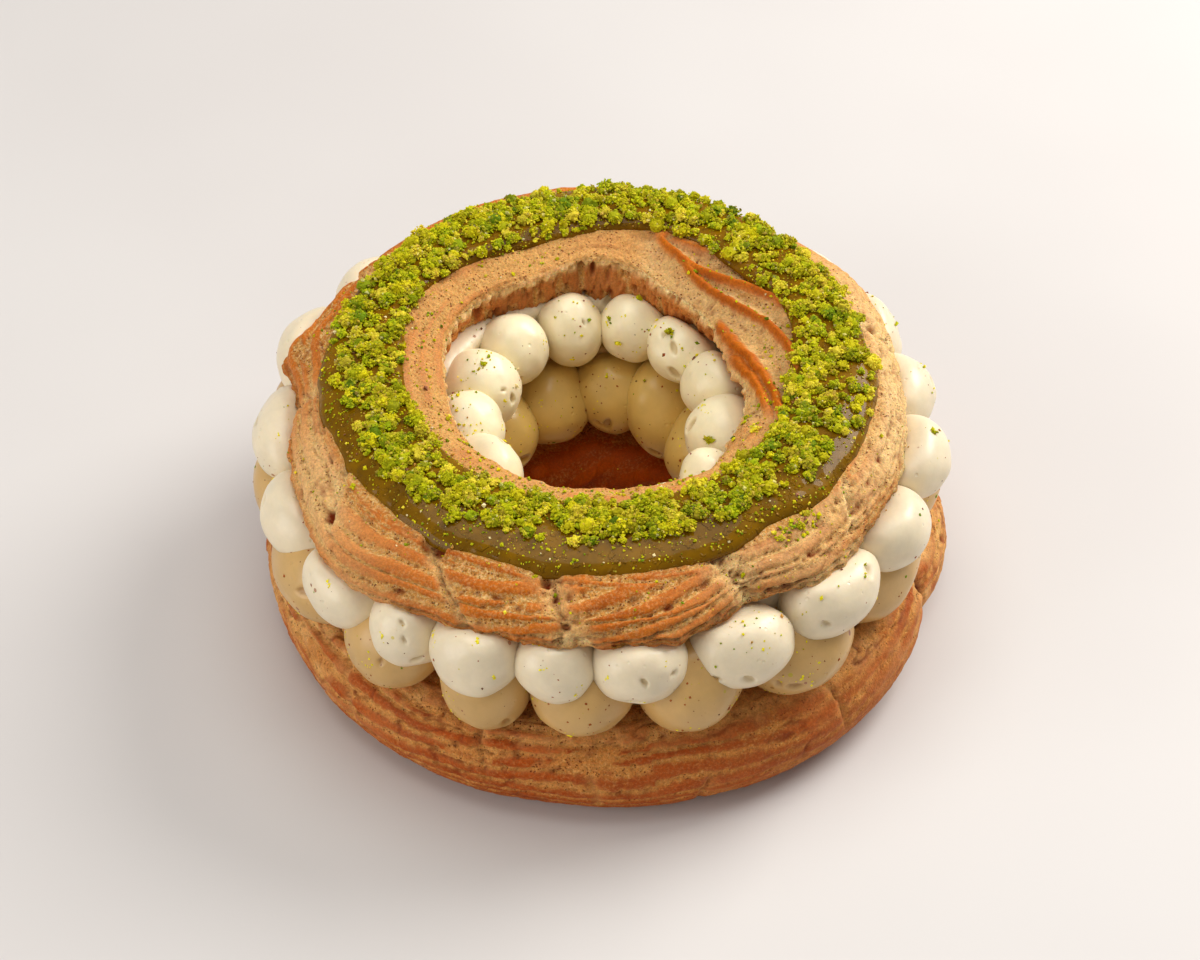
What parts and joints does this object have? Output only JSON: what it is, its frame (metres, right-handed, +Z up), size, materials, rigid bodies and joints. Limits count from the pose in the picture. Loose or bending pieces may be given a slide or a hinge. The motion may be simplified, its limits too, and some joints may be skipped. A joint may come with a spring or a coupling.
{
  "type": "paris brest pastry",
  "caption": "Round choux ring split in two and filled with two layers of piped cream domes, with pistachio glaze and crumbs on its lid.",
  "frame": {"origin": "middle of the footprint, on the surface that the pastry stands on", "axes": "+Z up along the ring's axis, +X towards the flared seam of the base, -Y towards the side where the lid sits lowest"},
  "size_m": [0.1978, 0.1934, 0.0833],
  "materials": {
    "base_crust": "baked choux crust, fluted, matt to satin",
    "lid_crust": "baked choux crust, rough and cracked, matt",
    "praline_cream": "smooth tan cream with fine nut specks, soft sheen",
    "vanilla_cream": "smooth ivory cream with fine specks, soft sheen",
    "pistachio_glaze": "glossy green pistachio glaze"
  },
  "bodies": {
    "root": {"base_crust": "base_crust", "lid_crust": "lid_crust", "praline_cream": "praline_cream", "vanilla_cream": "vanilla_cream", "pistachio_glaze": "pistachio_glaze"}
  },
  "joints": []
}
